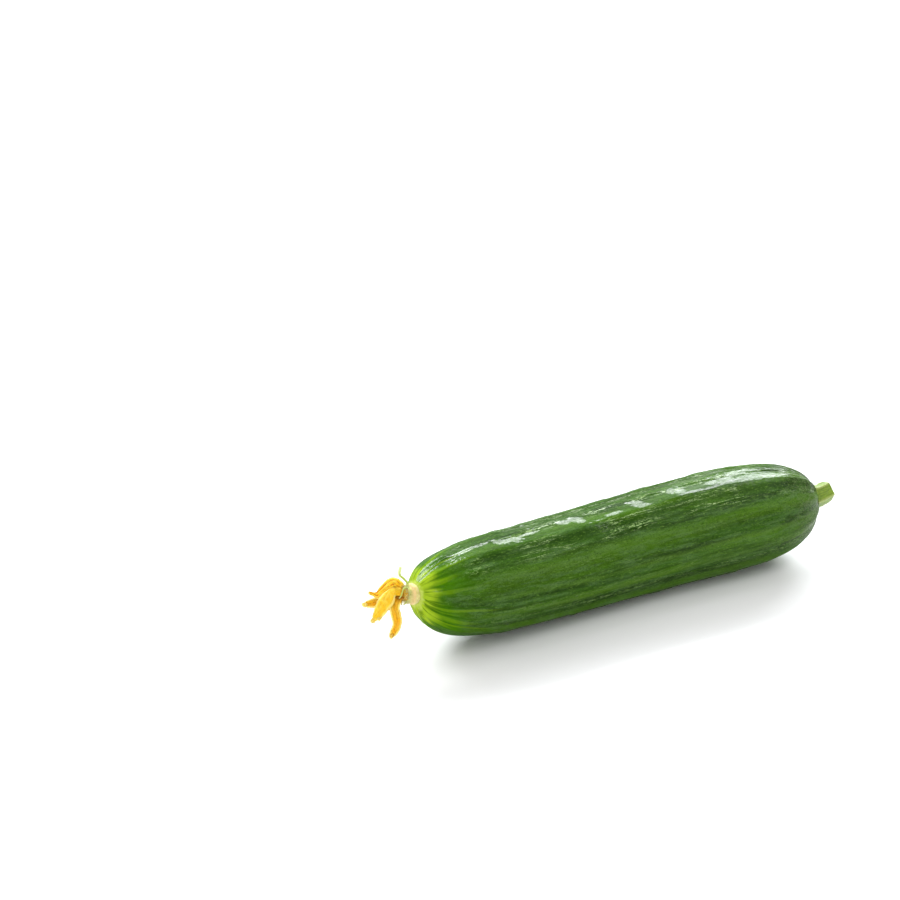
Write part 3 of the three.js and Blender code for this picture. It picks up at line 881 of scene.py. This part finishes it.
def make_stalk_cut(rim, rim_flow):
    """The cut face: rings that run inwards from the rim, dished and a little rough."""
    middle, (ahead, _, _) = stalk_section(1.0)
    rng = np.random.default_rng(CUT_SEED)
    shares = 1 - np.arange(CUT_RINGS + 1) / (CUT_RINGS + 1)
    rings = [rim]
    for share in shares[1:]:
        rough = CUT_ROUGHNESS * rng.uniform(-1, 1, (STALK_SIDES, 1))
        dish = CUT_DEPTH * smooth(0, 1, 1 - share)
        rings.append(middle + (rim - middle) * share + ahead * (rough - dish))
    flows = [rim_flow * np.array([share, share, 1]) for share in shares]
    points = np.concatenate([*rings, [middle - ahead * CUT_DEPTH]])
    faces = wall_faces(CUT_RINGS + 1, STALK_SIDES)
    total = (CUT_RINGS + 1) * STALK_SIDES
    last = total - STALK_SIDES
    faces += [(total, last + step, last + (step + 1) % STALK_SIDES) for step in range(STALK_SIDES)]
    values = {
        "flow": np.concatenate([*flows, [[0, 0, STALK_LENGTH]]]),
        "middle": np.append(np.repeat(shares, STALK_SIDES), 0),
    }
    return add_mesh("stalk_cut", points, faces, values, cut_material())


def make_stalk():
    skin, rim, rim_flow = make_stalk_skin()
    dress([skin, make_stalk_cut(rim, rim_flow)], "stalk")


# Calyx and corolla

def flower_frame():
    middle, ahead, up, side, _ = fruit_section(FLOWER_SCAR_PLACE)
    outward = -ahead[0]
    way = unit(outward + up[0] * COLLAR_TILT_UP + side[0] * COLLAR_TILT_SIDE)
    return middle[0] + outward * GAP, outward, way


COLLAR_FOOT, COLLAR_OUTWARD, COLLAR_WAY = flower_frame()


def collar_section(height):
    part = min(max(height / COLLAR_LENGTH, 0), 1)
    along = COLLAR_OUTWARD + (COLLAR_WAY - COLLAR_OUTWARD) * part
    return COLLAR_FOOT + along * height, section_axes(along)


RIM_MIDDLE = collar_section(COLLAR_LENGTH)[0]
FRONT_RIGHT = np.array([math.cos(FRONT_AZIMUTH), math.sin(FRONT_AZIMUTH), 0])
FRONT = np.array([
    math.sin(FRONT_AZIMUTH) * math.cos(FRONT_ELEVATION),
    -math.cos(FRONT_AZIMUTH) * math.cos(FRONT_ELEVATION),
    math.sin(FRONT_ELEVATION),
])
FRONT_UP = np.cross(FRONT, FRONT_RIGHT)


def flower_way(place):
    place = np.asarray(place, float)
    return place[..., 0:1] * FRONT_RIGHT + place[..., 1:2] * FRONT_UP + place[..., 2:3] * FRONT


def collar_radius(part):
    straight = COLLAR_BASE_RADIUS + (COLLAR_RIM_RADIUS - COLLAR_BASE_RADIUS) * part**1.4
    return straight + COLLAR_SWELL * math.sin(math.pi * min(part * 1.6, 1))


# Sepals as seen from the front: the points they pass, and the radius at the tip
SEPALS = [
    ([[0.6, 2, -0.3], [0.6, 3.4, -0.4], [-0.5, 4.7, 0], [-1.7, 6, 0.9], [-1.4, 8.4, 1]], 0.52),
    ([[1, 1.7, 0.6], [-0.3, 1.9, 1.9], [-0.8, 0.7, 2.8], [-1.2, -0.4, 3], [-1.8, -1.2, 3.2]], 0.32),
    ([[0.75, -1.9, 0.3], [0.2, -2.7, 0.7], [-0.5, -3.3, 0.7]], 0.32),
    ([[-0.4, -1.3, -1.6], [-1.1, -2.4, -2.4], [-1.2, -3.6, -3]], 0.32),
    ([[-0.4, 1.2, -1.6], [-1.1, 2.1, -2.5], [-1.8, 2.6, -3.6]], 0.32),
]
SEPAL_ROOT_RADIUS = 0.45
SEPAL_WAIST = 0.22
SEPAL_SIDES = 16
SEPAL_STEPS = 48
SHORT_SEPAL_SHARE = 0.62
COLLAR_SIDES = 110
COLLAR_RINGS = 46
COLLAR_LOBE_HEIGHT = 0.1
COLLAR_ROUGHNESS = 0.07
COLLAR_FOOT_ROUNDING = 0.12
COLLAR_RIM_RISE = 0.22


def tube(path, radii, sides, start_side):
    """Rings of a round tube along a smooth curve, with its radius at each ring."""
    spots = curve_points(path, np.linspace(0, 1, len(radii)))
    ahead = unit(np.gradient(spots, axis=0))
    angle = angles_round(sides)
    side = np.asarray(start_side, float)
    rings = []
    for spot, way, radius in zip(spots, ahead, radii):
        up = unit(np.cross(way, side))
        side = unit(np.cross(up, way))
        rings.append(ring(spot, radius, angle, side, up))
    return np.array(rings)


def sepal_body(number, path, tip):
    """A sepal: the first one is long and fresh, the others are short, thin and shrivelled."""
    fresh = number == 0
    parts = np.linspace(0, 1, SEPAL_STEPS)
    radii = values_along([SEPAL_ROOT_RADIUS, tip], parts) * (1 - SEPAL_WAIST * np.sin(math.pi * parts))
    radii = radii * np.sqrt(np.minimum((1.02 - parts) * 14, 1)) * (1 if fresh else SHORT_SEPAL_SHARE)
    radii = radii * (1 + 0.09 * noise(parts * 11, parts * 0, 41 + number))
    rings = tube(RIM_MIDDLE + flower_way(path), radii, SEPAL_SIDES, flower_way([0.3, 0.2, 1]))
    points, faces = loft(rings)
    along = np.append(np.repeat(parts, SEPAL_SIDES), [0, 1])
    brown = 0 if fresh else 0.1 + 0.3 * smooth(0.6, 1, along)
    pallor = smooth(0.5, 1, along) * (1 if fresh else 0.3)
    return points, faces, at_points(points, green=0.85, blush=0, brown=brown, pallor=pallor)


def collar_body():
    """The collar: its outside, its lip and the inside of its mouth."""
    angle = angles_round(COLLAR_SIDES)
    turn = angle / (2 * math.pi)
    heights = np.linspace(-SEAM_DEPTH, COLLAR_LENGTH, COLLAR_RINGS)
    profile = [(height, collar_radius(max(height, 0) / COLLAR_LENGTH)) for height in heights]
    profile += [(COLLAR_LENGTH + 0.12, COLLAR_RIM_RADIUS - 0.2), (COLLAR_LENGTH + 0.06, MOUTH_RADIUS + 0.1)]
    profile += [(COLLAR_LENGTH - depth, MOUTH_RADIUS) for depth in np.linspace(0.2, MOUTH_DEPTH, 8)]
    rings, green, blush, brown = [], [], [], []
    for number, (height, radius) in enumerate(profile):
        part = height / COLLAR_LENGTH
        outside = number < COLLAR_RINGS
        spot, (ahead, up, side) = collar_section(height)
        lobes = COLLAR_LOBE_HEIGHT * np.cos(5 * angle + 1) * smooth(0.4, 1, part)
        rough = COLLAR_ROUGHNESS * noise(turn * 0 + height * 1.6, turn * 22, 51, 22)
        reach = radius + (lobes + rough - COLLAR_FOOT_ROUNDING * (1 - smooth(0, 0.12, part))) * outside
        rise = COLLAR_RIM_RISE * smooth(0.7, 1, part) * noise(turn * 0, turn * 12, 52, 12)
        rings.append(ring(spot, reach, angle, side, up) + np.outer(rise, ahead))
        patch = noise(turn * 0 + height * 0.8, turn * 7, 53, 7)
        green.append(0.8 * smooth(0.45, 0.95, part) * (0.65 + 0.35 * patch))
        blush.append((0.75 + 0.4 * patch) * smooth(0.2, 0.5, part) * (1 - smooth(0.7, 0.95, part)))
        brown.append(0 * turn + (0.15 * smooth(0.85, 1, part) if outside else 0.3))
    points, faces = loft(rings)
    values = {"green": green, "blush": blush, "brown": brown}
    values = {key: np.append(np.clip(np.concatenate(value), 0, 1), [0, 0]) for key, value in values.items()}
    return points, faces, at_points(points, pallor=0, **values)


# Downy hairs on the collar and its rim, seeded: short curved spikes
HAIR_COUNT = 620
HAIR_SEED = 54
HAIR_LENGTH = 0.85
HAIR_RADIUS = 0.045
HAIR_TAPER = np.array([1, 0.8, 0.55, 0.2])
HAIR_SIDES = 4
HAIR_ROOT_DEPTH = 0.08
HAIRY_LENGTH = 1.3 * COLLAR_LENGTH
HAIR_DROOP = np.array([0, 0, -0.25])


def hair_body(rng):
    height = HAIRY_LENGTH * rng.uniform(0, 1) ** 0.6
    part = height / COLLAR_LENGTH
    angle = rng.uniform(0, 2 * math.pi)
    spot, (ahead, up, side) = collar_section(height)
    out = side * math.cos(angle) + up * math.sin(angle)
    root = spot + out * (collar_radius(min(part, 1)) - HAIR_ROOT_DEPTH - 1.6 * max(part - 1, 0))
    length = HAIR_LENGTH * rng.uniform(0.4, 1.1) * (1.3 if part > 0.8 else 0.7)
    forward = 1.6 if part > 0.85 else 0.6
    lean = ahead * rng.uniform(-0.3, forward) + np.cross(out, ahead) * rng.uniform(-0.7, 0.7)
    path = [root, root + (out + lean * 0.5) * length * 0.5, root + (out + lean + HAIR_DROOP) * length]
    points, faces = loft(tube(path, HAIR_RADIUS * HAIR_TAPER, HAIR_SIDES, ahead + out * 0.1))
    green = rng.uniform(0, 0.5)
    return points, faces, at_points(points, green=green, blush=0, brown=rng.uniform(0, 0.35), pallor=0.4)


def make_calyx():
    rng = np.random.default_rng(HAIR_SEED)
    material = calyx_material()
    sepals = [sepal_body(number, path, tip) for number, (path, tip) in enumerate(SEPALS)]
    collar = add_mesh("calyx_collar", *joined([collar_body(), *sepals]), material)
    down = add_mesh("calyx_down", *joined([hair_body(rng) for _ in range(HAIR_COUNT)]), material)
    dress([collar, down], "calyx")


# Petals as seen from the front: points along the middle, half widths, the way the outer face looks at the
# root and the tip, the roll of the edges in radians, the radius of the knob at the tip, the height of the
# pleats, and how far the painted shade of the hollow at the root reaches. The third one is the second petal's
# other tip.
PETALS = [
    dict(path=[[-0.7, 0.6, 0.3], [-1.9, 2.9, 1], [-3.8, 3.8, 1.7], [-6.1, 2.2, 2], [-8.2, 0.2, 1.8],
               [-9.7, 0.2, 1.5], [-11.1, 0.7, 1.3]],
         half_width=[1, 1.4, 1.9, 1.8, 1.3, 0.5, 0.35], looks=[[-0.1, 0.5, 0.9], [-0.2, 0.4, 0.9]],
         roll=0.6, knob=0, pleats=0.17, hollow_shade=0.12),
    dict(path=[[-0.5, 0.7, 0.9], [-2.4, 1.1, 2.2], [-4.1, 0.6, 3.2], [-5.4, -1.2, 3.8], [-6.8, -3.3, 4],
               [-8.1, -5.6, 3.4], [-9.7, -7.9, 2.6]],
         half_width=[1.1, 1.1, 1.5, 2.1, 2.1, 1.6, 0.7], looks=[[0, 0.4, 1], [-0.2, 0.1, 1]],
         roll=0.4, knob=0.75, pleats=0.05, hollow_shade=0.08),
    dict(path=[[-6.2, -3.3, 3], [-7, -5.2, 3.2], [-7.9, -7.4, 3]],
         half_width=[0.8, 0.8, 0.55], looks=[[0, 0.2, 1], [0.1, 0.1, 1]],
         roll=0.3, knob=0.6, pleats=0.05, hollow_shade=0),
    dict(path=[[-0.6, -0.3, 0.3], [-2, -1.2, 0.9], [-3, -3.2, 1.3], [-2.9, -5.5, 0.9], [-2.4, -7.9, 0.1],
               [-2.6, -10, -0.9], [-3.6, -11.8, -1.8], [-4.2, -13, -2.4]],
         half_width=[1.1, 1.3, 1.5, 1.45, 1.4, 1.2, 0.95, 0.7], looks=[[-0.3, 0.2, 0.9], [0.1, 0, 1]],
         roll=-0.5, knob=0.8, pleats=0.08, hollow_shade=0.27),
    dict(path=[[-0.8, 0, -0.1], [-4, -0.3, 0.4], [-7.2, -2, 0.9], [-10, -2.9, 1.3], [-12.2, -3.2, 1.6]],
         half_width=[1.1, 1.4, 1.6, 1.35, 0.95], looks=[[-0.1, 0.4, 0.9], [0, 0.4, 0.9]],
         roll=-0.5, knob=0.85, pleats=0.12, hollow_shade=0.5),
    dict(path=[[-0.7, -0.2, -0.3], [-2.7, -1.2, -1.3], [-4.6, -2.9, -2.2], [-5.9, -4.6, -3]],
         half_width=[1.1, 1.5, 1.5, 0.8], looks=[[0.2, 0.2, -1], [0.1, 0.2, -1]],
         roll=0.6, knob=0, pleats=0.12, hollow_shade=0.2),
]

# Unevenness of a petal's sheet: cells per millimetre of length, cells per half width, and seed
SHEET_NOISES = {
    "ragged": (0.9, 1.2, 61),
    "bend": (0.25, 0, 71),
    "crinkle": (0.7, 2, 81),
    "small crinkle": (2.2, 4, 91),
    "crease": (0.35, 3.4, 131),
}
RAGGED_SHARE = 0.1
TIP_TAPER = 0.35
PLEAT_TURN = 3.2 * math.pi
PLEAT_BEND = 1.5
CRINKLE_DEPTH = 0.06
CRINKLE_PLEATS = 0.6
FOLD_SHADE_DEPTH = 0.26
RIM_CURL = 0.32
RIM_TURN = 0.5
RIM_SWELL = 0.9
PETAL_STEPS = 90
PETAL_STRIPS = 30
KNOB_RINGS = 24
KNOB_SIDES = 36

# Step in the flow from one petal to the next, in millimetres, so that each has marks of its own
FLOW_SPACING = 20


def both_sides(value):
    """Values of a petal's middle sheet, for the points of its outer and then its inner face."""
    return np.concatenate([value, value[:, ::-1]], 1).reshape(-1, *value.shape[2:])


def knob_body(number, petal):
    """The shrivelled knob at a petal's tip: a lumpy ball, pale, with painted highlights on its lumps and
    painted shade between them.
    """
    polar = np.linspace(0.06, math.pi - 0.06, KNOB_RINGS)
    polar, around = np.meshgrid(polar, angles_round(KNOB_SIDES), indexing="ij")
    turn = around / (2 * math.pi)
    lumps = 1 + 0.2 * noise(polar * 2, turn * 5, 111 + number, 5)
    lumps = lumps + 0.1 * noise(polar * 5, turn * 12, 121 + number, 12)
    way = np.stack([np.sin(polar) * np.cos(around), np.sin(polar) * np.sin(around), -np.cos(polar)], -1)
    rings = RIM_MIDDLE + flower_way(petal["path"][-1]) + (petal["knob"] * lumps)[..., None] * way
    points, faces = loft(rings)
    # Lighter on the lumps' tops as painted highlight, darker between them as painted shade
    lump_highlight = np.append(smooth(0.9, 1.15, lumps).ravel(), [0, 0])
    return points, faces, at_points(points, rim=0.7 + 0.3 * lump_highlight, root=0, fold=0.3 - 0.3 * lump_highlight, lime=0)


def petal_body(number, petal):
    """One thin petal: pleated lengthwise, crinkled, with a ragged rolled rim."""
    parts = np.linspace(0, 1, PETAL_STEPS)
    spots = RIM_MIDDLE + flower_way(curve_points(petal["path"], parts))
    ahead = unit(np.gradient(spots, axis=0))
    looks = [flower_way(way) for way in petal["looks"]]
    outward = looks[0] + np.outer(parts, looks[1] - looks[0])
    across = unit(np.cross(ahead, outward))
    outward = np.cross(across, ahead)
    part, spot = np.meshgrid(parts, np.linspace(-1, 1, PETAL_STRIPS), indexing="ij")
    edge = np.abs(spot)
    length = part * np.linalg.norm(np.diff(spots, axis=0), axis=1).sum()
    uneven = {
        name: noise(length * along, (spot + 1) * sideways, seed + number)
        for name, (along, sideways, seed) in SHEET_NOISES.items()
    }
    half_width = values_along(petal["half_width"], parts)[:, None]
    half_width = half_width * (1 + RAGGED_SHARE * uneven["ragged"] * edge)
    half_width = half_width * (1 - TIP_TAPER * smooth(0.93, 1, part) * edge)
    roll, pleats, hollow_shade = petal["roll"], petal["pleats"], petal["hollow_shade"]
    sideways = half_width * np.sin(roll * spot) / roll
    back = half_width * (1 - np.cos(roll * spot)) / roll + RIM_CURL * smooth(0.72, 1, edge) * np.sign(roll)
    crease = 1 - np.sqrt(np.abs(uneven["crease"]) + 0.01)
    crinkle = (CRINKLE_DEPTH + CRINKLE_PLEATS * pleats) * (uneven["crinkle"] + 0.6 * uneven["small crinkle"])
    lift = pleats * (np.cos(PLEAT_TURN * spot + PLEAT_BEND * uneven["bend"]) - crease) + crinkle
    lift = lift * smooth(0, 0.15, part)
    points = spots[:, None] + sideways[..., None] * across[:, None]
    points = points + (lift - back)[..., None] * outward[:, None]
    angle = roll * spot + RIM_TURN * np.sign(roll * spot) * smooth(0.7, 1, edge)
    normal = np.cos(angle)[..., None] * outward[:, None] + np.sin(angle)[..., None] * across[:, None]
    half = PETAL_THICKNESS / 2 * (1 + RIM_SWELL * smooth(0.8, 1, edge))[..., None]
    rings = np.concatenate([points + normal * half, (points - normal * half)[:, ::-1]], 1)
    faces = wall_faces(PETAL_STEPS, 2 * PETAL_STRIPS)
    count = 2 * PETAL_STRIPS
    last = count * (PETAL_STEPS - 1)
    for strip in range(PETAL_STRIPS - 1):
        facing = count - 1 - strip
        faces.append((strip, facing, facing - 1, strip + 1))
        faces.append((last + strip, last + strip + 1, last + facing - 1, last + facing))
    rim = np.maximum(smooth(0.5, 0.95, edge), smooth(0.88, 1, part)) * smooth(0.12, 0.3, part)
    # Darker at the root: painted shade in the hollow where the petal meets the neck
    root = 1 - smooth(0.4 * hollow_shade, hollow_shade + 0.04, part)
    root = root * (0.75 + 0.25 * noise(part * 6, (spot + 1) * 2, 101 + number)) * (hollow_shade > 0)
    # Painted shade in the pleats' valleys, and down the middle of petals whose outer face is cupped
    fold = smooth(0.4, 1.2, -lift / FOLD_SHADE_DEPTH) * (1 - 0.5 * rim)
    fold = np.maximum(fold, 0.5 * (roll < 0) * (1 - spot**2) * smooth(0.1, 0.3, part))
    flow = np.stack([half_width * spot, 0 * spot, length], -1) + number * FLOW_SPACING
    values = {"flow": flow, "rim": rim, "root": root, "fold": fold, "lime": 0 * rim}
    return rings.reshape(-1, 3), faces, {key: both_sides(value) for key, value in values.items()}


# The neck's outline: height above the collar's rim and radius, from within the mouth, over the rim and in
NECK_PROFILE = [
    (GAP - MOUTH_DEPTH, NECK_RADIUS),
    (-0.1, MOUTH_RADIUS - 0.02),
    (NECK_HEIGHT * 0.25, COLLAR_RIM_RADIUS - 0.05),
    (NECK_HEIGHT * 0.6, NECK_TOP_RADIUS),
    (NECK_HEIGHT * 1.1, NECK_RADIUS * 0.7),
    (NECK_HEIGHT * 0.8, NECK_RADIUS * 0.3),
]
NECK_SIDES = 64
NECK_RINGS = 40
NECK_PLEATS = 9
NECK_PLEAT_HEIGHT = 0.06


def neck_body():
    angle = angles_round(NECK_SIDES)
    parts = np.linspace(0, 1, NECK_RINGS)
    heights = COLLAR_LENGTH + values_along([height for height, _ in NECK_PROFILE], parts)
    radii = values_along([radius for _, radius in NECK_PROFILE], parts)
    rings = []
    for height, radius in zip(heights, radii):
        spot, (_, up, side) = collar_section(height)
        pleats = NECK_PLEAT_HEIGHT * radius / NECK_RADIUS * np.cos(NECK_PLEATS * angle + height)
        rings.append(ring(spot, radius + pleats, angle, side, up))
    points, faces = loft(rings)
    # The neck, tucked between collar and petals, is darkened by painted shade and mostly takes the throat's
    # lime
    return points, faces, at_points(points, rim=0, root=0, fold=0.4, lime=0.75)


def make_corolla():
    bodies = [neck_body()]
    bodies += [petal_body(number, petal) for number, petal in enumerate(PETALS)]
    bodies += [knob_body(number, petal) for number, petal in enumerate(PETALS) if petal["knob"]]
    petals = add_mesh("corolla_petals", *joined(bodies), petal_material())
    dress([petals], "corolla")


make_fruit()
make_stalk()
make_calyx()
make_corolla()


# Floor, light and camera

FLOOR_SIZE = 6.0
FLOOR_DROP = 0.0001
FLOOR_WHITE = (0.86, 0.86, 0.86, 1)
WORLD_STRENGTH = 0.26
WHITE = (1, 1, 1)
COOL_WHITE = (0.94, 0.97, 1)

# Softboxes: azimuth and elevation in degrees, distance from the part, the height they aim at, width and
# height in metres, watts, and colour. The white patches on the skin mirror the first one.
SOFTBOXES = {
    "back_softbox": (138, 35, 1.8, 0.015, (1.3, 1), 48, COOL_WHITE),
    "flower_end_softbox": (187, 42, 1.8, 0.015, (1.6, 0.6), 30, COOL_WHITE),
    "front_fill": (-35, 46, 1.6, 0, (1.6, 1.2), 15, WHITE),
    "left_fill": (-110, 50, 1.6, 0, (0.9, 0.9), 6, WHITE),
    "right_fill": (70, 50, 1.6, 0, (0.9, 0.9), 6, WHITE),
}


def add_floor():
    half = FLOOR_SIZE / 2
    corners = [(x * half, y * half, -FLOOR_DROP) for x, y in ((-1, -1), (1, -1), (1, 1), (-1, 1))]
    mesh = bpy.data.meshes.new("floor")
    mesh.from_pydata(corners, [], [(0, 1, 2, 3)])
    floor = bpy.data.objects.new("floor", mesh)
    bpy.context.scene.collection.objects.link(floor)
    shader = Shader("floor_white")
    shader.set(Base_Color=FLOOR_WHITE, Roughness=0.9, Specular_IOR_Level=0.2)
    mesh.materials.append(shader.material)


def add_softbox(name, azimuth, elevation, distance, aim_height, size, power, color):
    data = bpy.data.lights.new(name, "AREA")
    data.shape = "RECTANGLE"
    data.size, data.size_y = size
    data.energy = power
    data.color = color
    azimuth, elevation = math.radians(azimuth), math.radians(elevation)
    level = Vector((math.sin(azimuth), -math.cos(azimuth), 0)) * math.cos(elevation)
    place = (level + Vector((0, 0, math.sin(elevation)))) * distance
    light = bpy.data.objects.new(name, data)
    light.location = place
    light.rotation_euler = (Vector((0, 0, aim_height)) - place).to_track_quat("-Z", "Y").to_euler()
    bpy.context.scene.collection.objects.link(light)


def add_world(strength):
    world = bpy.data.worlds.new("studio")
    world.use_nodes = True
    world.node_tree.nodes["Background"].inputs["Color"].default_value = (1, 1, 1, 1)
    world.node_tree.nodes["Background"].inputs["Strength"].default_value = strength
    bpy.context.scene.world = world


def add_camera():
    data = bpy.data.cameras.new("camera")
    data.lens = CAMERA_LENS
    data.sensor_width = CAMERA_SENSOR
    data.clip_start = 0.01
    camera = bpy.data.objects.new("camera", data)
    target = Vector((np.array(CAMERA_TARGET) + FRAME_SHIFT) * MM)
    turn = Matrix([FRONT_RIGHT, FRONT_UP, FRONT]).transposed().to_4x4()
    camera.matrix_world = Matrix.Translation(target + Vector(FRONT) * CAMERA_DISTANCE * MM) @ turn
    bpy.context.scene.collection.objects.link(camera)
    bpy.context.scene.camera = camera


add_floor()
add_world(WORLD_STRENGTH)
for name, settings in SOFTBOXES.items():
    add_softbox(name, *settings)
add_camera()
bpy.context.scene.view_settings.view_transform = "Standard"
bpy.context.scene.view_settings.look = "None"
